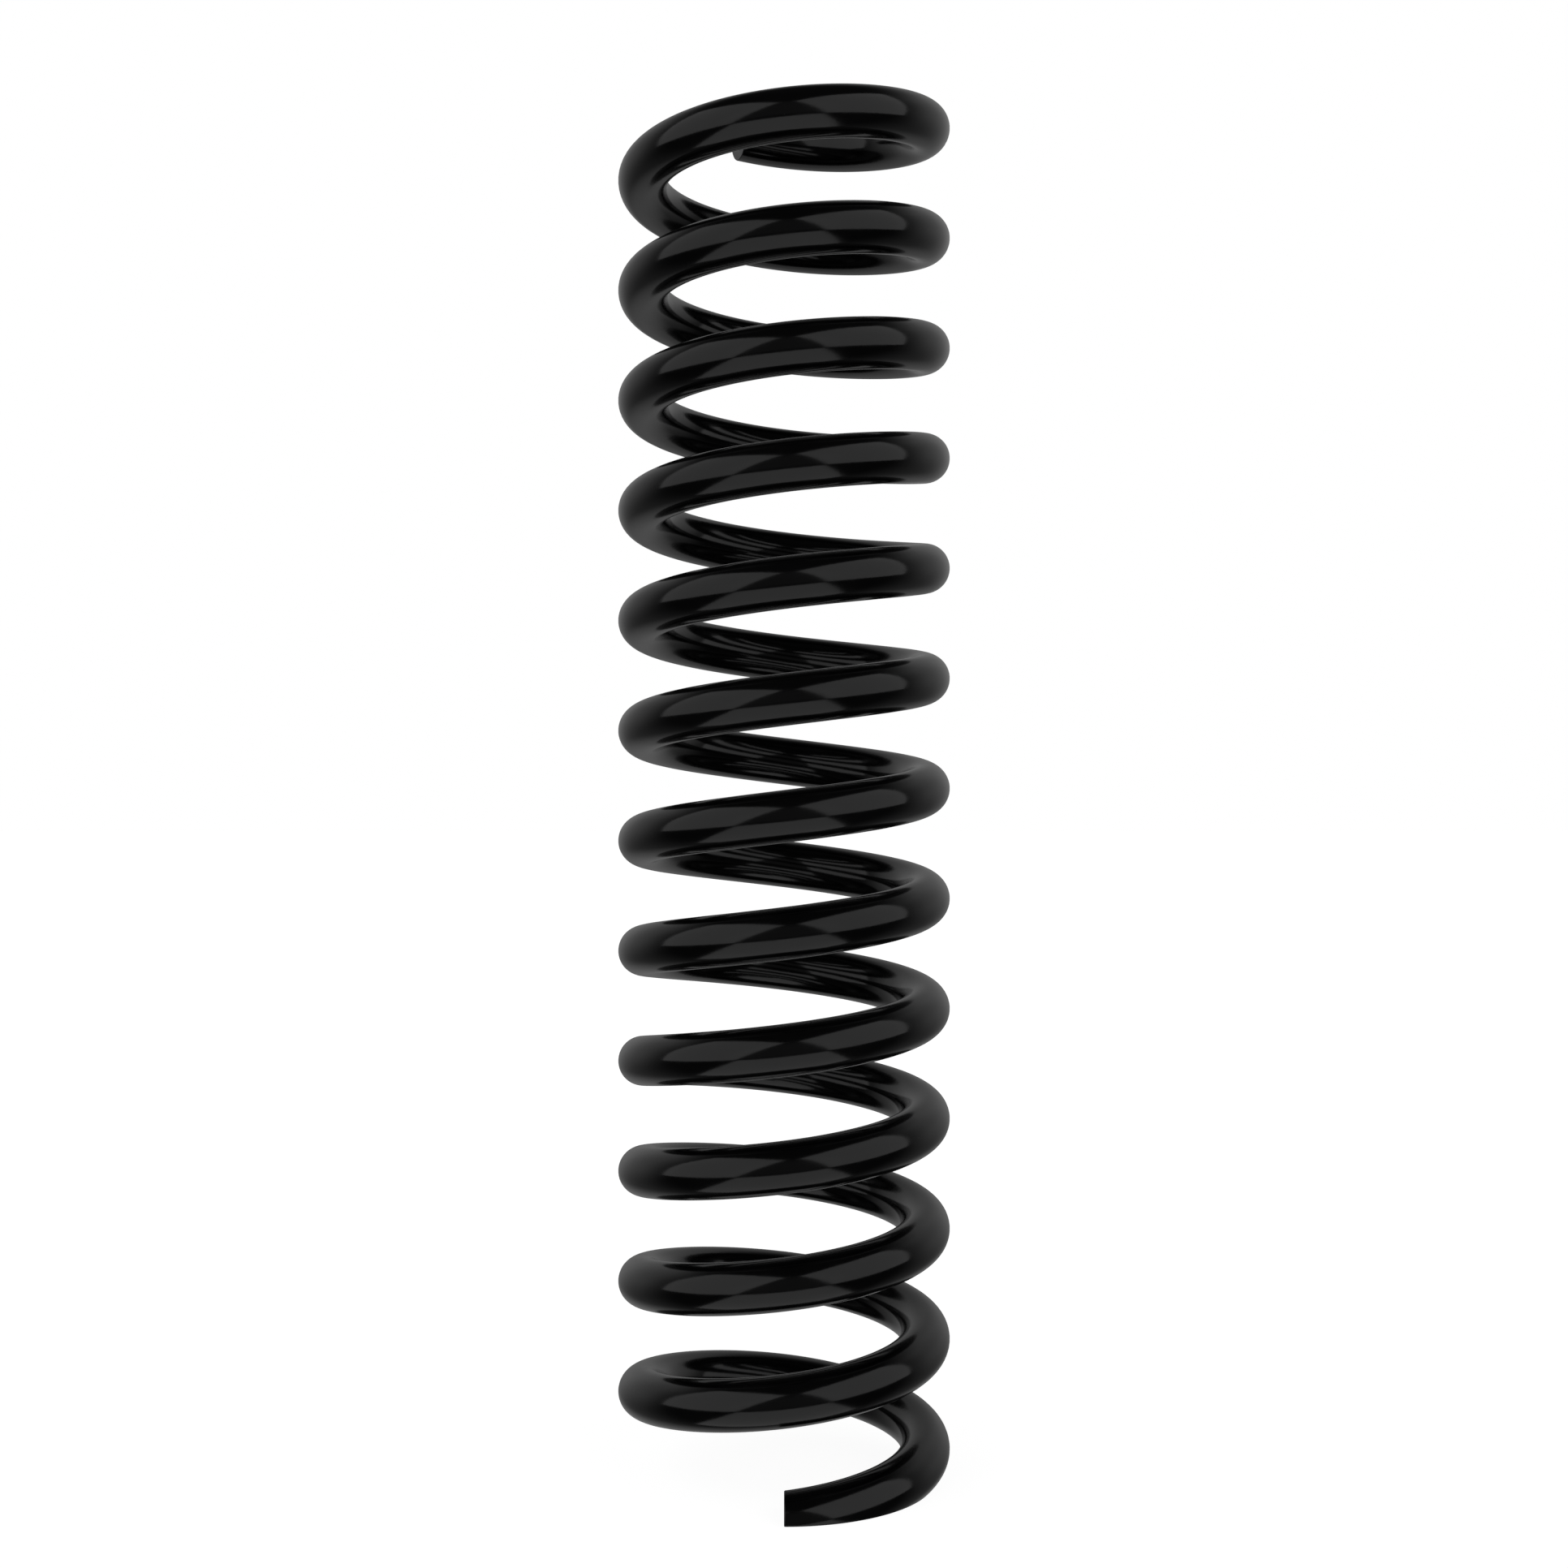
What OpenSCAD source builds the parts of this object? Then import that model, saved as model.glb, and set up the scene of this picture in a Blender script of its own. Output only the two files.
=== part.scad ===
// Compression spring for a coil-over suspension unit.
// One round bar is wound right-handed into a cylinder of even pitch. Both ends are open
// and ground flat, square to the axis, at half the bar's thickness at the tip.
// Lengths are in millimetres and angles in degrees, measured from +X towards +Y.
// The spring's axis is Z, the lower ground face lies on z = 0, and the lower tip is on -Y.
// The bar is parted at the planes x = 0 and y = 0 into quarter turns. They meet face to
// face there, and slide along Z on each other as the spring shortens.

/* [Wire] */
// Diameter of the round bar
wire_d = 13.5; // [8:0.5:15]

/* [Coil] */
// Diameter of the coil, at the middle of the bar
mean_d = 77; // [60:1:120]
// Free length, from ground face to ground face
free_length = 376; // [300:1:500]
// Whole turns, from the lower tip to the same angle in the last turn
whole_turns = 12; // [8:1:14]
// Angle at which the upper tip ends the last turn
upper_tip_angle = 110; // [95:5:130]

/* [Finish] */
// Red, green and blue of the powder coat
coat_color = [0.03, 0.03, 0.035]; // [0:0.005:1]

/* [Hidden] */
$fn = 96;
lower_tip_angle = -90;
mean_r = mean_d / 2;
quarter = 90;
quarters = 4 * whole_turns + 1;
total_angle = 360 * whole_turns + upper_tip_angle - lower_tip_angle;
pitch = free_length * 360 / total_angle;

// Each arc runs this much past its seams before it is cut to its sector
arc_overrun = 10;
// Half-width of the blocks that cut the arcs, well outside the coil
block_r = mean_d;

// The quarter turn that starts at each of the four seams, going round from the lower tip
SIDES = ["front_right", "back_right", "back_left", "front_left"];

function two_digits(n) = n < 10 ? str("0", n) : str(n);
function quarter_name(i) = str("turn_", two_digits(floor(i / 4) + 1), "_", SIDES[i % 4]);
function seam_angle(i) = lower_tip_angle + quarter * i;
function wire_height(angle) = pitch * (angle - lower_tip_angle) / 360;

// The space between two radial planes less than half a turn apart, and between the two
// planes of the ground faces
module sector(from_angle, to_angle) {
    intersection() {
        rotate([0, 0, from_angle])
            translate([-block_r, 0, 0])
                cube([2 * block_r, block_r, free_length]);
        rotate([0, 0, to_angle])
            translate([-block_r, -block_r, 0])
                cube([2 * block_r, block_r, free_length]);
    }
}

// A ring arc of the bar whose plane leans so that it passes through the helix at both
// seams and halfway between them
module leaning_arc(from_angle, to_angle) {
    middle = (from_angle + to_angle) / 2;
    half = (to_angle - from_angle) / 2;
    rise = pitch * half / 360;
    arc_r = sqrt(mean_r * mean_r + rise * rise);
    lean = atan(rise / (mean_r * sin(half)));
    reach = acos(mean_r * cos(half) / arc_r) + arc_overrun;
    translate([0, 0, wire_height(middle)])
        rotate([0, 0, middle])
            rotate([lean, 0, 0])
                rotate([0, 0, -reach])
                    rotate_extrude(angle = 2 * reach)
                        translate([arc_r, 0])
                            circle(d = wire_d);
}

// A length of the bar with a vertical face at each seam, cut flat at the ground faces
module bar_length(from_angle, to_angle) {
    color(coat_color)
        intersection() {
            leaning_arc(from_angle, to_angle);
            sector(from_angle, to_angle);
        }
}

// First quarter turn: the lower tip's cut face and nearly all of the lower ground face
module lower_ground_end() {
    bar_length(seam_angle(0), seam_angle(1));
}

// Any quarter turn between the two ends, counted from the lower tip
module quarter_turn(i) {
    bar_length(seam_angle(i), seam_angle(i + 1));
}

// Last length of the bar: the upper ground face and the upper tip's cut face
module upper_ground_end() {
    bar_length(seam_angle(quarters), lower_tip_angle + total_angle);
}

lower_ground_end();
for (i = [1 : quarters - 1])
    quarter_turn(i);
upper_ground_end();
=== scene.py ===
import math
import bpy
import numpy as np
from mathutils import Matrix, Vector


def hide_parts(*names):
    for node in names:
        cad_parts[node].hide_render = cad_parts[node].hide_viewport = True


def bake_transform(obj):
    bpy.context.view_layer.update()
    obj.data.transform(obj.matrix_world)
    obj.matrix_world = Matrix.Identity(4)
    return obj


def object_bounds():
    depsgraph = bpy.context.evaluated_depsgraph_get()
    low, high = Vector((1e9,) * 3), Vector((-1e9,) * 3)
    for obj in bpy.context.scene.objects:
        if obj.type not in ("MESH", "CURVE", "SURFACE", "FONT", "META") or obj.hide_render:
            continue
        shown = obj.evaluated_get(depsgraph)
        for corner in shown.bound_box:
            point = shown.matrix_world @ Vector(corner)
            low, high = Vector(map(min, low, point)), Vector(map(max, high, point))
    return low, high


# Compression spring for a coil-over suspension unit: one round bar, wound right-handed at an even
# pitch, ground flat at both ends and finished in gloss black powder coat.
# Lengths are in metres and angles in radians, measured from +X towards +Y. The spring stands on
# z = 0, its axis is Z, and its lower tip is on -Y.

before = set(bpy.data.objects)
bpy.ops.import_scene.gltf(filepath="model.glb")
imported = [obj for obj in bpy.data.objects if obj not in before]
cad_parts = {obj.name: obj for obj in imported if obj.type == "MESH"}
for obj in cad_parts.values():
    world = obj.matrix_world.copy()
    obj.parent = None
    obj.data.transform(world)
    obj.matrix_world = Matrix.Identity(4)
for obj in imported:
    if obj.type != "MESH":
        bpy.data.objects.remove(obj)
cad_low, cad_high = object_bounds()

# ---------------------------------------------------------------- the wound bar's own sizes
BAR_RADIUS = 0.00675
# From the axis to the middle of the bar
COIL_RADIUS = 0.0385
FREE_LENGTH = cad_high.z - cad_low.z
WHOLE_TURNS = 12
QUARTERS_IN_A_TURN = 4
TURN = 2 * math.pi
LOWER_TIP = math.radians(-90)
UPPER_TIP = math.radians(110) + WHOLE_TURNS * TURN
WOUND_ANGLE = UPPER_TIP - LOWER_TIP
# Climb of the bar for each radian of winding
RISE = FREE_LENGTH / WOUND_ANGLE
BAR_LENGTH_PER_RADIAN = math.hypot(COIL_RADIUS, RISE)
# A cut straight down through the leaning bar is this much taller than it is wide
LEAN_STRETCH = BAR_LENGTH_PER_RADIAN / COIL_RADIUS
# Each quarter turn of the bar moves on its own body, and the last one is number 49
LAST_QUARTER = WHOLE_TURNS * QUARTERS_IN_A_TURN + 1
# Deburring leaves the edges of the ground faces and of the cut tips this round
GROUND_EDGE = 0.00035
TIP_EDGE = 0.0003
# How far the rubbed look of an edge reaches along the surface
EDGE_REACH = 0.0007

# ---------------------------------------------------------------- how finely the bar is drawn
# Points of a section: over the round of the bar, round each corner of a ground face, and across
# the face. Where the bar is whole, the last two lots lie on the round under it.
ARC_POINTS = 37
CORNER_POINTS = 4
FLAT_POINTS = 5
UNDER_POINTS = 2 * CORNER_POINTS + FLAT_POINTS
ROUND_POINTS = ARC_POINTS + UNDER_POINTS
# Half the angle that the points under the bar take up: the least, where a ground face has just
# run out, its growth with the winding past there, and the most, where all points are even
LEAST_SPREAD = 0.02
SPREAD_PER_RADIAN = 1.2
EVEN_SPREAD = math.pi * (UNDER_POINTS + 1) / ROUND_POINTS
TIP_RINGS = 5
RING_STEP = math.radians(3)
# Rings are closer together within this reach of a tip, where the ground face runs out
FINE_RING_STEP = math.radians(1)
FINE_REACH = math.radians(90)

STRAIGHT_DOWN = -math.pi / 2
FACING_OUT = math.pi / 2
# Stands for the distance to an edge where there is none
FAR_FROM_EDGE = 1.0
# Places of the three finishes in a piece's list of materials
BAR_FINISH, GROUND_FINISH, TIP_FINISH = range(3)


def wire_height(angle):
    """Height of the middle of the bar at an angle."""
    return RISE * (angle - LOWER_TIP)


def around(angle):
    """Directions straight out from the axis and along the winding, at an angle."""
    out = np.array([math.cos(angle), math.sin(angle), 0.0])
    along = np.array([-math.sin(angle), math.cos(angle), 0.0])
    return out, along


# ---------------------------------------------------------------- one section through the bar
# A section gives for each of its points the place from the middle of the bar, out from the axis
# and up, then the normal, the share of the helix's climb, and the distance to an edge.
def ground_section(clearance):
    """Section where a ground face cuts the bar, so far below its middle."""
    corner_up = GROUND_EDGE - clearance
    corner_out = math.sqrt(max((BAR_RADIUS - GROUND_EDGE) ** 2 - corner_up ** 2, 0.0))
    start = math.atan2(corner_up, corner_out)
    end = math.pi - start
    arc = np.linspace(start, end, ARC_POINTS)
    arc_normal = np.stack([np.cos(arc), np.sin(arc)], 1)
    left = np.linspace(end, TURN + STRAIGHT_DOWN, CORNER_POINTS + 1)[1:]
    left_normal = np.stack([np.cos(left), np.sin(left)], 1)
    flat_out = np.linspace(-corner_out, corner_out, FLAT_POINTS + 2)[1:-1]
    right = np.linspace(STRAIGHT_DOWN, start, CORNER_POINTS + 1)[:-1]
    right_normal = np.stack([np.cos(right), np.sin(right)], 1)
    place = np.concatenate([
        BAR_RADIUS * arc_normal,
        np.array([-corner_out, corner_up]) + GROUND_EDGE * left_normal,
        np.stack([flat_out, np.full(FLAT_POINTS, -clearance)], 1),
        np.array([corner_out, corner_up]) + GROUND_EDGE * right_normal,
    ])
    normal = np.concatenate([
        arc_normal,
        left_normal,
        np.tile([0.0, -1.0], (FLAT_POINTS, 1)),
        right_normal,
    ])
    climb = np.concatenate([
        np.ones(ARC_POINTS),
        np.linspace(1, 0, CORNER_POINTS + 1)[1:],
        np.zeros(FLAT_POINTS),
        np.linspace(0, 1, CORNER_POINTS + 1)[:-1],
    ])
    edge = np.concatenate([
        BAR_RADIUS * np.minimum(arc - start, end - arc),
        np.zeros(CORNER_POINTS),
        corner_out - np.abs(flat_out),
        np.zeros(CORNER_POINTS),
    ])
    return place, normal, climb, edge


def round_section(spread):
    """Section where the bar is whole. spread opens the points that a ground face gathers."""
    start = STRAIGHT_DOWN + spread
    end = math.pi - start
    arc = np.linspace(start, end, ARC_POINTS)
    under = np.linspace(end, TURN + start, UNDER_POINTS + 2)[1:-1]
    angles = np.concatenate([arc, under])
    normal = np.stack([np.cos(angles), np.sin(angles)], 1)
    climb = np.ones(ROUND_POINTS)
    edge = np.full(ROUND_POINTS, FAR_FROM_EDGE)
    return BAR_RADIUS * normal, normal, climb, edge


def section_at(angle, upper):
    """Section of the bar at an angle, with the end's ground face if it reaches that far."""
    height = wire_height(angle)
    clearance = (FREE_LENGTH - height if upper else height) / LEAN_STRETCH
    if clearance < BAR_RADIUS:
        place, normal, climb, edge = ground_section(clearance)
    else:
        past_face = (clearance - BAR_RADIUS) * LEAN_STRETCH / RISE
        spread = min(EVEN_SPREAD, LEAST_SPREAD + SPREAD_PER_RADIAN * past_face)
        place, normal, climb, edge = round_section(spread)
    if upper:
        # The upper face is the lower one turned over
        place = place[::-1] * [1, -1]
        normal = normal[::-1] * [1, -1]
        climb = climb[::-1]
        edge = edge[::-1]
    place = place * [1, LEAN_STRETCH]
    normal = normal * [1, 1 / LEAN_STRETCH]
    normal = normal / np.linalg.norm(normal, axis=1, keepdims=True)
    return place, normal, climb, edge


# ---------------------------------------------------------------- rings round the bar
def ring(angle, upper, inset=0.0, setback=0.0, facing=0.0, tip_side=0.0):
    """Points, normals and marks of one ring of the bar.

    Round the edge of a tip's face, a ring is drawn in by inset and stands back from the face by
    setback, and its normals turn by facing to where the tip faces. tip_side is 1 if that is along
    the winding and -1 if it is against it."""
    place, normal, climb, edge = section_at(angle, upper)
    place = place - inset * normal
    points = np.zeros((ROUND_POINTS, 3))
    normals = np.zeros((ROUND_POINTS, 3))
    for i in range(ROUND_POINTS):
        radius = COIL_RADIUS + place[i, 0]
        point_angle = angle - tip_side * setback / radius
        out, along = around(point_angle)
        points[i] = radius * out
        points[i, 2] = wire_height(angle) + place[i, 1]
        side_normal = normal[i, 0] * out - climb[i] * RISE * normal[i, 1] / radius * along
        side_normal[2] = normal[i, 1]
        side_normal = side_normal / np.linalg.norm(side_normal)
        normals[i] = math.cos(facing) * side_normal + math.sin(facing) * tip_side * along
    length = np.full(ROUND_POINTS, BAR_LENGTH_PER_RADIAN * (angle - LOWER_TIP))
    bar = np.stack([place[:, 0], place[:, 1], length], 1)
    return points, normals, bar, climb, edge


def tip_rings(tip, upper):
    """Rings that round the edge of a tip's cut face, from the face to the bar's own surface."""
    tip_side = 1.0 if upper else -1.0
    rings = []
    for facing in np.linspace(FACING_OUT, 0.0, TIP_RINGS):
        setback = TIP_EDGE * (1 - math.sin(facing))
        inset = TIP_EDGE * (1 - math.cos(facing))
        rings.append(ring(tip, upper, inset, setback, facing, tip_side))
    return rings


def ring_angles(start, end, fine_from, fine_to):
    """Angles of the rings of one length of the bar, closer together over a ground face."""
    angles = [start]
    while angles[-1] < end - FINE_RING_STEP / 2:
        at = angles[-1]
        step = FINE_RING_STEP if fine_from - RING_STEP / 2 <= at < fine_to else RING_STEP
        angles.append(min(at + step, end))
    return angles


def rings_between(start, end, starts_at_tip, ends_at_tip):
    """Rings of one length of the bar, with those that round the edge of a tip."""
    upper = end > UPPER_TIP - math.pi
    first = start + TIP_EDGE / COIL_RADIUS if starts_at_tip else start
    last = end - TIP_EDGE / COIL_RADIUS if ends_at_tip else end
    if starts_at_tip:
        fine_from, fine_to = start, start + FINE_REACH
    elif ends_at_tip:
        fine_from, fine_to = end - FINE_REACH, end
    else:
        fine_from, fine_to = end, end
    rings = [ring(angle, upper) for angle in ring_angles(first, last, fine_from, fine_to)]
    # The innermost ring of a tip's edge is the first or last ring of the bar itself
    if starts_at_tip:
        rings = tip_rings(start, upper)[:-1] + rings
    if ends_at_tip:
        rings = rings + tip_rings(end, upper)[:-1][::-1]
    return rings


# ---------------------------------------------------------------- a length of the bar
def faces_over(ring_count, flat, starts_at_tip, ends_at_tip):
    """Faces over the rings and across the tips, and the finish of each. flat marks the points
    that lie on a ground face."""
    faces = []
    finish = []
    for i in range(ring_count - 1):
        for j in range(ROUND_POINTS):
            here = i * ROUND_POINTS
            following = (j + 1) % ROUND_POINTS
            quad = (here + j, here + ROUND_POINTS + j,
                    here + ROUND_POINTS + following, here + following)
            faces.append(quad)
            finish.append(GROUND_FINISH if flat[list(quad)].all() else BAR_FINISH)
    if starts_at_tip:
        faces.append(tuple(range(ROUND_POINTS)))
        finish.append(TIP_FINISH)
    if ends_at_tip:
        last_ring = (ring_count - 1) * ROUND_POINTS
        faces.append(tuple(last_ring + j for j in reversed(range(ROUND_POINTS))))
        finish.append(TIP_FINISH)
    return faces, finish


def length_of_bar(name, start, end, materials):
    """Piece of the bar between two angles, and each point's share of the way up the bar."""
    starts_at_tip = start <= LOWER_TIP
    ends_at_tip = end >= UPPER_TIP
    rings = rings_between(start, end, starts_at_tip, ends_at_tip)
    points, normals, bar, climb, edge = (np.concatenate(part) for part in zip(*rings))
    faces, finish = faces_over(len(rings), climb == 0, starts_at_tip, ends_at_tip)

    mesh = bpy.data.meshes.new(name)
    mesh.from_pydata(points.tolist(), [], faces)
    for material in materials:
        mesh.materials.append(material)
    mesh.polygons.foreach_set("material_index", finish)
    mesh.polygons.foreach_set("use_smooth", [True] * len(faces))
    mesh.update()
    corner_vertices = np.zeros(len(mesh.loops), np.int32)
    mesh.loops.foreach_get("vertex_index", corner_vertices)
    mesh.normals_split_custom_set(normals[corner_vertices].tolist())

    whole_bar = BAR_LENGTH_PER_RADIAN * WOUND_ANGLE
    from_lower_tip = bar[:, 2]
    from_upper_tip = whole_bar - bar[:, 2]
    nearest_edge = np.minimum(edge, np.minimum(from_lower_tip, from_upper_tip))
    along_bar = mesh.attributes.new("along_bar", "FLOAT_VECTOR", "POINT")
    along_bar.data.foreach_set("vector", bar.astype(np.float32).ravel())
    rubbed = mesh.attributes.new("edge", "FLOAT", "POINT")
    rubbed.data.foreach_set("value", np.exp(-nearest_edge / EDGE_REACH).astype(np.float32))
    piece = bpy.data.objects.new(name, mesh)
    bpy.context.scene.collection.objects.link(piece)
    return piece, bar[:, 2] / whole_bar


# ---------------------------------------------------------------- shader node helpers
# Places of a Mix node's sockets, which bear the same names for every kind of mix
MIX_MASK = 0
MIX_NUMBERS = (2, 3)
MIX_NUMBER_OUT = 0
MIX_COLOURS = (6, 7)
MIX_COLOUR_OUT = 2


def place_node(tree, kind, **settings):
    """Node of one kind, with its settings."""
    node = tree.nodes.new(kind)
    for key, value in settings.items():
        setattr(node, key, value)
    return node


def feed(tree, socket, value):
    """Gives a socket what another node puts out, or a plain number or colour."""
    if isinstance(value, bpy.types.NodeSocket):
        tree.links.new(value, socket)
    else:
        socket.default_value = value


def new_group(name, inputs, outputs):
    """Node group with sockets of these names and kinds, and its input and output nodes."""
    group = bpy.data.node_groups.new(name, "ShaderNodeTree")
    for in_out, sockets in (("INPUT", inputs), ("OUTPUT", outputs)):
        for label, kind in sockets:
            group.interface.new_socket(label, in_out=in_out, socket_type=kind)
    return group, group.nodes.new("NodeGroupInput"), group.nodes.new("NodeGroupOutput")


def noise(tree, coordinates, per_metre, octaves, roughness=0.5):
    """Noise with so many bumps to the metre, and octaves of finer ones on them."""
    node = place_node(tree, "ShaderNodeTexNoise")
    node.inputs["Scale"].default_value = per_metre
    node.inputs["Detail"].default_value = octaves
    node.inputs["Roughness"].default_value = roughness
    feed(tree, node.inputs["Vector"], coordinates)
    return node.outputs[0]


def ramp(tree, value, band, levels=(0.0, 1.0)):
    """Smooth step from the first level to the second as value crosses a band."""
    node = place_node(tree, "ShaderNodeMapRange", interpolation_type="SMOOTHSTEP")
    for label, end in zip(("From Min", "From Max", "To Min", "To Max"), (*band, *levels)):
        node.inputs[label].default_value = end
    feed(tree, node.inputs["Value"], value)
    return node.outputs["Result"]


def combine(tree, operation, *values):
    """One math step on values that may be sockets or plain numbers."""
    node = place_node(tree, "ShaderNodeMath", operation=operation)
    for socket, value in zip(node.inputs, values):
        feed(tree, socket, value)
    return node.outputs["Value"]


def blend_number(tree, mask, low, high):
    """Number that is low where the mask is 0 and high where it is 1."""
    node = place_node(tree, "ShaderNodeMix", data_type="FLOAT")
    for place, value in zip((MIX_MASK, *MIX_NUMBERS), (mask, low, high)):
        feed(tree, node.inputs[place], value)
    return node.outputs[MIX_NUMBER_OUT]


def blend_colour(tree, mask, under, over):
    """Colour that is the one under where the mask is 0 and the one over it where it is 1."""
    node = place_node(tree, "ShaderNodeMix", data_type="RGBA")
    for place, value in zip((MIX_MASK, *MIX_COLOURS), (mask, under, over)):
        feed(tree, node.inputs[place], value)
    return node.outputs[MIX_COLOUR_OUT]


# ---------------------------------------------------------------- effects that finishes share
# Bumps, cells, specks and scratches are counted to the metre of surface
PEEL_WAVES = 260.0
PEEL_DIMPLES = 900.0
DIMPLE_HEIGHT = 0.45

COLOUR_DRIFT = 55.0
COLOUR_DRIFT_BAND = (0.35, 0.65)
GLOSS_HAZE = 170.0
GLOSS_HAZE_BAND = (0.35, 0.70)

SEED_CELLS = 180.0
SEED_FLANK = (0.03, 0.075)
SEEDED_CELLS = (0.86, 0.90)

DUST_SPECKS = 2600.0
DUST_SPECK_BAND = (0.50, 0.72)
DUST_PATCHES = 90.0
DUST_PATCH_BAND = (0.40, 0.75)
# How far up a surface's normal points, from where dust starts to lie to where most does
DUST_SLOPE = (0.55, 1.0)

RUB_BREAKS = 420.0
RUB_BAND = (0.34, 0.60)

# The middle of the grinding wheel, which is much wider than the spring
WHEEL_MIDDLE = (0.21, -0.05, 0.0)
WHEEL_SCRATCHES = 1600.0
SCRATCH_SHARPNESS = 0.65
WHEEL_GRIT = 1500.0
GRIT_HEIGHT = 0.35

SHEAR_DRAG = 1900.0
# Drag marks are longer up the face than they are wide
DRAG_STRETCH = (1.0, 0.12, 1.0)
SHEAR_TEAR = 700.0
TEAR_HEIGHT = 0.6


def make_orange_peel():
    """The flow-out of sprayed powder: long soft waves with finer dimples on them."""
    tree, given, out = new_group(
        "orange_peel",
        [("Coordinates", "NodeSocketVector")],
        [("Height", "NodeSocketFloat")],
    )
    waves = noise(tree, given.outputs["Coordinates"], PEEL_WAVES, octaves=1.0)
    dimples = noise(tree, given.outputs["Coordinates"], PEEL_DIMPLES, octaves=2.0)
    height = combine(tree, "MULTIPLY_ADD", dimples, DIMPLE_HEIGHT, waves)
    feed(tree, out.inputs["Height"], height)
    return tree


def make_cure_shift():
    """Slow drift in colour and gloss along the bar, from uneven film and cure."""
    tree, given, out = new_group(
        "cure_shift",
        [
            ("Coordinates", "NodeSocketVector"),
            ("Deep Colour", "NodeSocketColor"),
            ("Pale Colour", "NodeSocketColor"),
            ("Wet Roughness", "NodeSocketFloat"),
            ("Dry Roughness", "NodeSocketFloat"),
        ],
        [("Colour", "NodeSocketColor"), ("Roughness", "NodeSocketFloat")],
    )
    where = given.outputs["Coordinates"]
    drift = ramp(tree, noise(tree, where, COLOUR_DRIFT, octaves=3.0), COLOUR_DRIFT_BAND)
    haze = ramp(tree, noise(tree, where, GLOSS_HAZE, octaves=4.0), GLOSS_HAZE_BAND)
    colour = blend_colour(tree, drift, given.outputs["Deep Colour"], given.outputs["Pale Colour"])
    gloss = blend_number(tree, haze, given.outputs["Wet Roughness"], given.outputs["Dry Roughness"])
    feed(tree, out.inputs["Colour"], colour)
    feed(tree, out.inputs["Roughness"], gloss)
    return tree


def make_seeds():
    """Tiny seeds of grit under the film, one in the middle of a cell here and there."""
    tree, given, out = new_group(
        "seeds",
        [("Coordinates", "NodeSocketVector")],
        [("Mask", "NodeSocketFloat")],
    )
    cells = place_node(tree, "ShaderNodeTexVoronoi")
    cells.inputs["Scale"].default_value = SEED_CELLS
    feed(tree, cells.inputs["Vector"], given.outputs["Coordinates"])
    seed = ramp(tree, cells.outputs["Distance"], SEED_FLANK, levels=(1.0, 0.0))
    lot = place_node(tree, "ShaderNodeSeparateColor")
    feed(tree, lot.inputs["Color"], cells.outputs["Color"])
    drawn = ramp(tree, lot.outputs["Red"], SEEDED_CELLS)
    feed(tree, out.inputs["Mask"], combine(tree, "MULTIPLY", seed, drawn))
    return tree


def make_settled_dust():
    """Thin dust on what faces up."""
    tree, given, out = new_group(
        "settled_dust",
        [("Coordinates", "NodeSocketVector"), ("Amount", "NodeSocketFloat")],
        [("Mask", "NodeSocketFloat")],
    )
    where = given.outputs["Coordinates"]
    surface = place_node(tree, "ShaderNodeNewGeometry")
    parts = place_node(tree, "ShaderNodeSeparateXYZ")
    feed(tree, parts.inputs["Vector"], surface.outputs["Normal"])
    upward = ramp(tree, parts.outputs["Z"], DUST_SLOPE)
    specks = ramp(tree, noise(tree, where, DUST_SPECKS, octaves=3.0), DUST_SPECK_BAND)
    patches = ramp(tree, noise(tree, where, DUST_PATCHES, octaves=3.0), DUST_PATCH_BAND)
    lying = combine(tree, "MULTIPLY", combine(tree, "MULTIPLY", upward, specks), patches)
    feed(tree, out.inputs["Mask"], combine(tree, "MULTIPLY", lying, given.outputs["Amount"]))
    return tree


def make_rubbed_edge():
    """Film worn thin along a handled edge, more in some places than in others."""
    tree, given, out = new_group(
        "rubbed_edge",
        [
            ("Coordinates", "NodeSocketVector"),
            ("Edge", "NodeSocketFloat"),
            ("Amount", "NodeSocketFloat"),
        ],
        [("Mask", "NodeSocketFloat")],
    )
    broken = noise(tree, given.outputs["Coordinates"], RUB_BREAKS, octaves=4.0)
    worn = ramp(tree, combine(tree, "MULTIPLY", given.outputs["Edge"], broken), RUB_BAND)
    feed(tree, out.inputs["Mask"], combine(tree, "MULTIPLY", worn, given.outputs["Amount"]))
    return tree


def make_grinding_marks():
    """Fine arcs that the face of a big grinding wheel leaves across a spring's end."""
    tree, given, out = new_group(
        "grinding_marks",
        [("Place", "NodeSocketVector")],
        [("Height", "NodeSocketFloat")],
    )
    from_wheel = place_node(tree, "ShaderNodeVectorMath", operation="SUBTRACT")
    from_wheel.inputs[1].default_value = WHEEL_MIDDLE
    feed(tree, from_wheel.inputs[0], given.outputs["Place"])
    span = place_node(tree, "ShaderNodeVectorMath", operation="LENGTH")
    feed(tree, span.inputs[0], from_wheel.outputs["Vector"])
    track = place_node(tree, "ShaderNodeCombineXYZ")
    feed(tree, track.inputs["X"], span.outputs["Value"])
    scratches = noise(tree, track.outputs["Vector"], WHEEL_SCRATCHES, octaves=4.0,
                      roughness=SCRATCH_SHARPNESS)
    grit = noise(tree, given.outputs["Place"], WHEEL_GRIT, octaves=3.0)
    height = combine(tree, "MULTIPLY_ADD", grit, GRIT_HEIGHT, scratches)
    feed(tree, out.inputs["Height"], height)
    return tree


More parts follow.
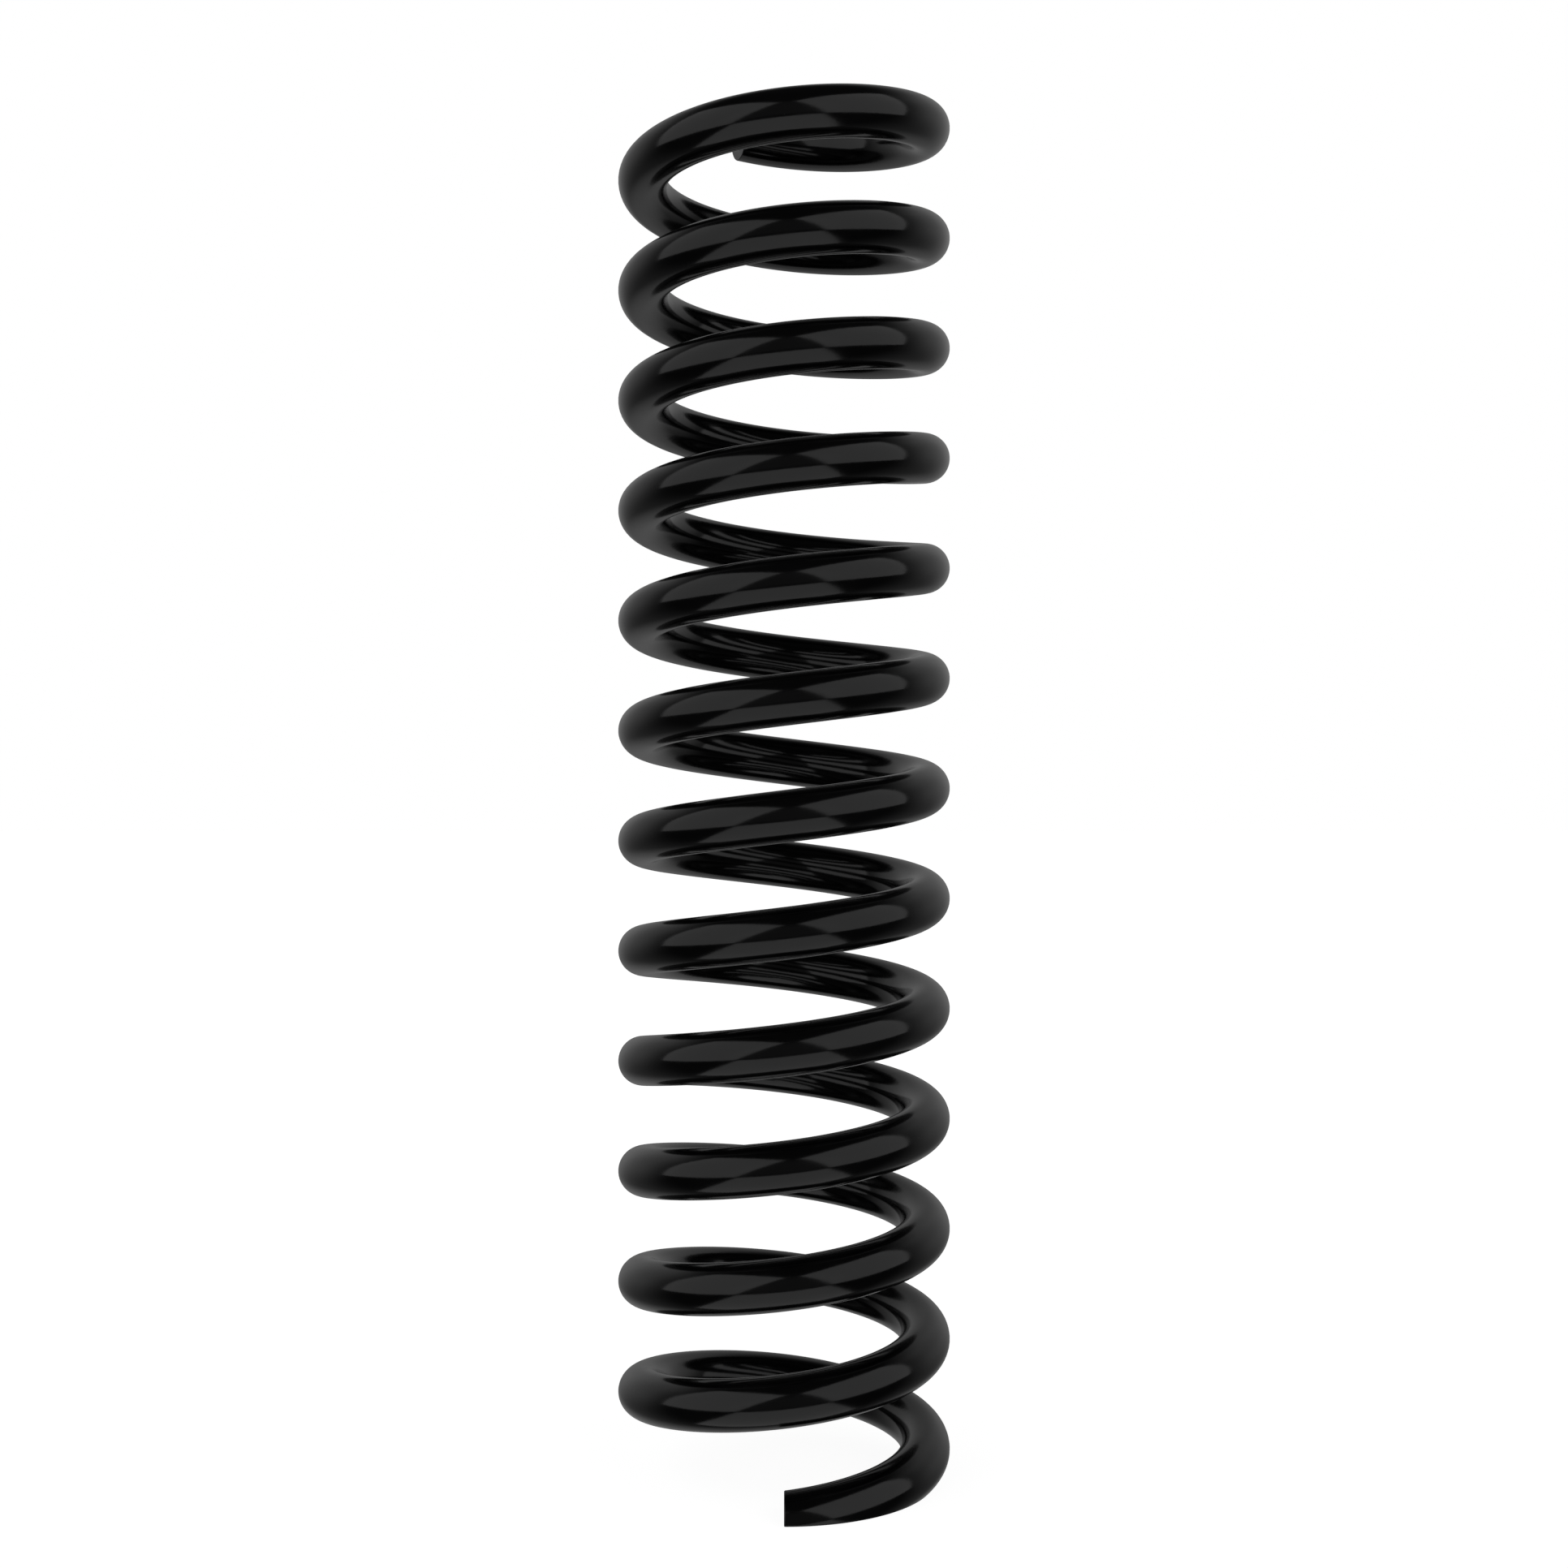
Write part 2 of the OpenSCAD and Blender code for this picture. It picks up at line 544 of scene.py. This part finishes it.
def make_cropping_grain():
    """Upright drag marks and a coarser tear, where the shear parted the bar."""
    tree, given, out = new_group(
        "cropping_grain",
        [("Coordinates", "NodeSocketVector")],
        [("Height", "NodeSocketFloat")],
    )
    stretched = place_node(tree, "ShaderNodeVectorMath", operation="MULTIPLY")
    stretched.inputs[1].default_value = DRAG_STRETCH
    feed(tree, stretched.inputs[0], given.outputs["Coordinates"])
    drag = noise(tree, stretched.outputs["Vector"], SHEAR_DRAG, octaves=3.0)
    tear = noise(tree, given.outputs["Coordinates"], SHEAR_TEAR, octaves=4.0)
    height = combine(tree, "MULTIPLY_ADD", tear, TEAR_HEIGHT, drag)
    feed(tree, out.inputs["Height"], height)
    return tree


# ---------------------------------------------------------------- the coat's finishes
DEEP_BLACK = (0.0010, 0.0010, 0.0011, 1.0)
PALE_BLACK = (0.0022, 0.0022, 0.0024, 1.0)
DUST_GREY = (0.110, 0.105, 0.095, 1.0)
THIN_FILM = (0.020, 0.020, 0.022, 1.0)
COAT_IOR = 1.5
WORN_ROUGHNESS = 0.32
DUST_ROUGHNESS = 0.8
SEED_HEIGHT = 0.000006


def use_group(tree, group, **wires):
    """Places a group and feeds its inputs, each named with _ for a space."""
    node = place_node(tree, "ShaderNodeGroup", node_tree=group)
    for label, value in wires.items():
        feed(tree, node.inputs[label.replace("_", " ")], value)
    return node


def raised(tree, height, depth, under=None):
    """Normal of a surface raised by height times a depth in metres, on top of another normal."""
    bump = place_node(tree, "ShaderNodeBump")
    bump.inputs["Strength"].default_value = 1.0
    bump.inputs["Distance"].default_value = depth
    feed(tree, bump.inputs["Height"], height)
    if under is not None:
        feed(tree, bump.inputs["Normal"], under)
    return bump.outputs["Normal"]


def coat_finish(name, groups, wet, dry, peel, wear, dust, texture=None, texture_depth=0.0):
    """Powder coat over one kind of surface.

    wet and dry are its roughness where the film flowed well and where it did not, and peel is the
    depth of its orange peel. texture is the group of the marks that show through it, if any do."""
    material = bpy.data.materials.new(name)
    material.use_nodes = True
    tree = material.node_tree
    shader = tree.nodes["Principled BSDF"]
    shader.inputs["IOR"].default_value = COAT_IOR
    along_bar = place_node(tree, "ShaderNodeAttribute", attribute_name="along_bar")
    edge = place_node(tree, "ShaderNodeAttribute", attribute_name="edge")
    where = along_bar.outputs["Vector"]
    film = use_group(tree, groups["cure_shift"], Coordinates=where, Deep_Colour=DEEP_BLACK,
                     Pale_Colour=PALE_BLACK, Wet_Roughness=wet, Dry_Roughness=dry)
    rubbed = use_group(tree, groups["rubbed_edge"], Coordinates=where,
                       Edge=edge.outputs["Fac"], Amount=wear)
    dusty = use_group(tree, groups["settled_dust"], Coordinates=where, Amount=dust)
    worn_colour = blend_colour(tree, rubbed.outputs["Mask"], film.outputs["Colour"], THIN_FILM)
    colour = blend_colour(tree, dusty.outputs["Mask"], worn_colour, DUST_GREY)
    worn_gloss = blend_number(tree, rubbed.outputs["Mask"], film.outputs["Roughness"],
                              WORN_ROUGHNESS)
    gloss = blend_number(tree, dusty.outputs["Mask"], worn_gloss, DUST_ROUGHNESS)
    feed(tree, shader.inputs["Base Color"], colour)
    feed(tree, shader.inputs["Roughness"], gloss)

    skin = use_group(tree, groups["orange_peel"], Coordinates=where)
    seeds = use_group(tree, groups["seeds"], Coordinates=where)
    normal = raised(tree, skin.outputs["Height"], peel)
    normal = raised(tree, seeds.outputs["Mask"], SEED_HEIGHT, under=normal)
    if texture is not None:
        marks = place_node(tree, "ShaderNodeGroup", node_tree=texture)
        if "Place" in marks.inputs:
            spot = place_node(tree, "ShaderNodeTexCoord")
            feed(tree, marks.inputs["Place"], spot.outputs["Object"])
        else:
            feed(tree, marks.inputs["Coordinates"], where)
        normal = raised(tree, marks.outputs["Height"], texture_depth, under=normal)
    feed(tree, shader.inputs["Normal"], normal)
    return material


effects = {
    "orange_peel": make_orange_peel(),
    "cure_shift": make_cure_shift(),
    "seeds": make_seeds(),
    "settled_dust": make_settled_dust(),
    "rubbed_edge": make_rubbed_edge(),
}
# In the order of BAR_FINISH, GROUND_FINISH and TIP_FINISH
finishes = [
    coat_finish("gloss_black_coat_on_bar", effects, wet=0.125, dry=0.155, peel=0.000012,
                wear=0.5, dust=0.10),
    coat_finish("gloss_black_coat_on_ground_face", effects, wet=0.24, dry=0.32, peel=0.000008,
                wear=0.8, dust=0.05, texture=make_grinding_marks(), texture_depth=0.00002),
    coat_finish("gloss_black_coat_on_cut_tip", effects, wet=0.17, dry=0.22, peel=0.000012,
                wear=0.8, dust=0.05, texture=make_cropping_grain(), texture_depth=0.00003),
]

# ---------------------------------------------------------------- the turns, from the bottom up
# Where each quarter of a turn lies, going round from the lower tip
SIDES = ["front_right", "back_right", "back_left", "front_left"]


def node_of(quarter):
    """CAD node of a quarter turn, counted from 0 at the lower tip. Its body has the same name."""
    if quarter == 0:
        return "lower_ground_end"
    if quarter == LAST_QUARTER:
        return "upper_ground_end"
    turn = quarter // QUARTERS_IN_A_TURN + 1
    return f"turn_{turn:02d}_{SIDES[quarter % QUARTERS_IN_A_TURN]}"


def add_turn(name, first_quarter, last_quarter):
    """One turn over the given quarters, whose CAD nodes it hides."""
    start = LOWER_TIP + first_quarter * TURN / QUARTERS_IN_A_TURN
    end = LOWER_TIP + (last_quarter + 1) * TURN / QUARTERS_IN_A_TURN
    if last_quarter == LAST_QUARTER:
        end = UPPER_TIP
    piece, share = length_of_bar(name, start, end, finishes)
    nodes = [node_of(quarter) for quarter in range(first_quarter, last_quarter + 1)]
    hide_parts(*nodes)
    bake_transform(piece)
    # Every turn closes by the same amount
    return piece


for turn in range(WHOLE_TURNS):
    first = turn * QUARTERS_IN_A_TURN
    label = "lower_end_coil" if turn == 0 else f"coil_{turn + 1:02d}"
    add_turn(label, first, first + QUARTERS_IN_A_TURN - 1)
add_turn("upper_end_coil", WHOLE_TURNS * QUARTERS_IN_A_TURN, LAST_QUARTER)

# ---------------------------------------------------------------- the camera
MIDDLE = Vector((0.0, 0.0, FREE_LENGTH / 2))
CAMERA_DISTANCE = 0.596
LENS_MM = 50.0
SENSOR_MM = 36.0
NEAR_CLIP = 0.01

camera_data = bpy.data.cameras.new("camera")
camera_data.lens = LENS_MM
camera_data.sensor_width = SENSOR_MM
camera_data.clip_start = NEAR_CLIP
camera = bpy.data.objects.new("camera", camera_data)
camera.location = MIDDLE + Vector((0.0, -CAMERA_DISTANCE, 0.0))
camera.rotation_euler = (math.radians(90), 0.0, 0.0)
bpy.context.scene.collection.objects.link(camera)
bpy.context.scene.camera = camera

# ---------------------------------------------------------------- the softboxes
LIGHT_DISTANCE = 3.0
UPPER_BOX_GLOW = 0.59
UPPER_BOX_SIDE = 4.10
UPPER_BOX_AZIMUTH = math.radians(54.4)
UPPER_BOX_ELEVATION = math.radians(22.0)
UPPER_BOX_ROLL = math.radians(-13.3)
LOWER_BOX_GLOW = 0.57
LOWER_BOX_SIDE = 4.17
LOWER_BOX_ELEVATION = math.radians(-56.7)
# An area light's power over its area, for each unit of brightness of its face
POWER_PER_GLOW = math.pi


def add_softbox(name, azimuth, elevation, roll, side, glow):
    """Square softbox that faces the spring. Azimuth is from the camera's side round towards +X."""
    out = Vector((
        math.sin(azimuth) * math.cos(elevation),
        -math.cos(azimuth) * math.cos(elevation),
        math.sin(elevation),
    ))
    level = out.cross(Vector((0.0, 0.0, 1.0))).normalized()
    steep = level.cross(out)
    across = math.cos(roll) * level + math.sin(roll) * steep
    upright = out.cross(across)
    light = bpy.data.lights.new(name, "AREA")
    light.shape = "SQUARE"
    light.size = side
    light.energy = glow * POWER_PER_GLOW * side * side
    box = bpy.data.objects.new(name, light)
    turned = Matrix((across, upright, out)).transposed().to_4x4()
    box.matrix_world = Matrix.Translation(MIDDLE + LIGHT_DISTANCE * out) @ turned
    box.visible_camera = False
    bpy.context.scene.collection.objects.link(box)


for name, side in (("right_softbox", 1), ("left_softbox", -1)):
    add_softbox(name, side * UPPER_BOX_AZIMUTH, UPPER_BOX_ELEVATION, side * UPPER_BOX_ROLL,
                UPPER_BOX_SIDE, UPPER_BOX_GLOW)
add_softbox("lower_softbox", 0.0, LOWER_BOX_ELEVATION, 0.0, LOWER_BOX_SIDE, LOWER_BOX_GLOW)

# ---------------------------------------------------------------- the room
WHITE = (1.0, 1.0, 1.0, 1.0)
# Bands are of the X, Y and Z of a unit direction, with +Y away from the camera, and glows are
# brightnesses with white as 1. The back wall fades in along Y and brightens upwards along Z, as
# far as a dark ceiling. It is dimmer in its middle along X.
ROOM_GLOW = 0.02
BACK_WALL_STARTS = (-0.18, 0.5)
BACK_WALL_CLIMB = (-0.5, 0.25)
BACK_WALL_GLOW = (0.11, 0.34)
BACK_WALL_MIDDLE = (0.1, 0.5)
BACK_WALL_MIDDLE_SHARE = (0.68, 1.0)
CEILING_STARTS = (0.6, 0.92)
# The floor behind the spring curves up into the wall, and is lit round this direction
SWEEP_DIRECTION = (0.0, 0.669, -0.743)
SWEEP_SPREAD = (0.743, 0.99)
SWEEP_GLOW = 0.22
FRONT_WALL_SPREAD = (-0.95, -0.7)
FRONT_WALL_GLOW = 0.06
FRONT_WALL_CLIMB = (-0.4, -0.15)


def studio_surround():
    """White to the eye, and a dim room that is a little brighter behind the spring to its gloss."""
    world = bpy.data.worlds.new("studio_surround")
    world.use_nodes = True
    tree = world.node_tree
    tree.nodes.clear()
    direction = place_node(tree, "ShaderNodeTexCoord")
    parts = place_node(tree, "ShaderNodeSeparateXYZ")
    feed(tree, parts.inputs["Vector"], direction.outputs["Generated"])
    behind = ramp(tree, parts.outputs["Y"], BACK_WALL_STARTS)
    off_middle = combine(tree, "ABSOLUTE", parts.outputs["X"])
    aside = ramp(tree, off_middle, BACK_WALL_MIDDLE, BACK_WALL_MIDDLE_SHARE)
    climb = ramp(tree, parts.outputs["Z"], BACK_WALL_CLIMB, BACK_WALL_GLOW)
    below_ceiling = ramp(tree, parts.outputs["Z"], CEILING_STARTS, levels=(1.0, 0.0))
    wall_width = combine(tree, "MULTIPLY", behind, aside)
    wall_height = combine(tree, "MULTIPLY", climb, below_ceiling)
    back_wall = combine(tree, "MULTIPLY", wall_width, wall_height)
    towards_sweep = place_node(tree, "ShaderNodeVectorMath", operation="DOT_PRODUCT")
    towards_sweep.inputs[1].default_value = SWEEP_DIRECTION
    feed(tree, towards_sweep.inputs[0], direction.outputs["Generated"])
    sweep = ramp(tree, towards_sweep.outputs["Value"], SWEEP_SPREAD, levels=(0.0, SWEEP_GLOW))
    front_width = ramp(tree, parts.outputs["Y"], FRONT_WALL_SPREAD, levels=(FRONT_WALL_GLOW, 0.0))
    front_height = ramp(tree, parts.outputs["Z"], FRONT_WALL_CLIMB)
    front_wall = combine(tree, "MULTIPLY", front_width, front_height)
    walls = combine(tree, "ADD", combine(tree, "ADD", back_wall, sweep), front_wall)
    room = combine(tree, "ADD", walls, ROOM_GLOW)
    grey = place_node(tree, "ShaderNodeCombineXYZ")
    for axis in ("X", "Y", "Z"):
        feed(tree, grey.inputs[axis], room)
    path = place_node(tree, "ShaderNodeLightPath")
    seen = blend_colour(tree, path.outputs["Is Camera Ray"], grey.outputs["Vector"], WHITE)
    glow = place_node(tree, "ShaderNodeBackground")
    feed(tree, glow.inputs["Color"], seen)
    output = place_node(tree, "ShaderNodeOutputWorld")
    tree.links.new(glow.outputs["Background"], output.inputs["Surface"])
    return world


bpy.context.scene.world = studio_surround()

# ---------------------------------------------------------------- the floor
FLOOR_HALF = 8.0
FLOOR_BASE = (0.35, 0.35, 0.35, 1.0)
FLOOR_GLOW_REACH = 0.9
# How brightly the floor's painted glow shines under the spring, and from its reach outwards:
# painted light, brighter further out to make up for the softboxes' light falling off there
FLOOR_PAINTED_GLOW = (0.93, 1.0)


def studio_floor():
    """Pale sweep that the spring stands on, evenly bright through a painted glow that stands in for
    light, so that only a faint shadow shows.
    """
    mesh = bpy.data.meshes.new("floor")
    corners = [(-FLOOR_HALF, -FLOOR_HALF, 0), (FLOOR_HALF, -FLOOR_HALF, 0),
               (FLOOR_HALF, FLOOR_HALF, 0), (-FLOOR_HALF, FLOOR_HALF, 0)]
    mesh.from_pydata(corners, [], [(0, 1, 2, 3)])
    paper = bpy.data.materials.new("pale_paper_with_painted_glow")
    paper.use_nodes = True
    tree = paper.node_tree
    shader = tree.nodes["Principled BSDF"]
    shader.inputs["Base Color"].default_value = FLOOR_BASE
    shader.inputs["Roughness"].default_value = 1.0
    shader.inputs["Specular IOR Level"].default_value = 0.0
    shader.inputs["Emission Strength"].default_value = 1.0
    spot = place_node(tree, "ShaderNodeTexCoord")
    span = place_node(tree, "ShaderNodeVectorMath", operation="LENGTH")
    feed(tree, span.inputs[0], spot.outputs["Object"])
    # Painted light: the floor glows, from a little under full under the spring to full at its
    # reach, in place of even lamp light
    glow = ramp(tree, span.outputs["Value"], (0.0, FLOOR_GLOW_REACH), FLOOR_PAINTED_GLOW)
    painted_glow_colour = place_node(tree, "ShaderNodeCombineColor")
    for channel in ("Red", "Green", "Blue"):
        feed(tree, painted_glow_colour.inputs[channel], glow)
    feed(tree, shader.inputs["Emission Color"], painted_glow_colour.outputs["Color"])
    mesh.materials.append(paper)
    floor = bpy.data.objects.new("floor", mesh)
    floor.visible_glossy = False
    floor.visible_diffuse = False
    floor.visible_shadow = False
    bpy.context.scene.collection.objects.link(floor)
    return floor


studio_floor()

bpy.context.scene.view_settings.view_transform = "Standard"
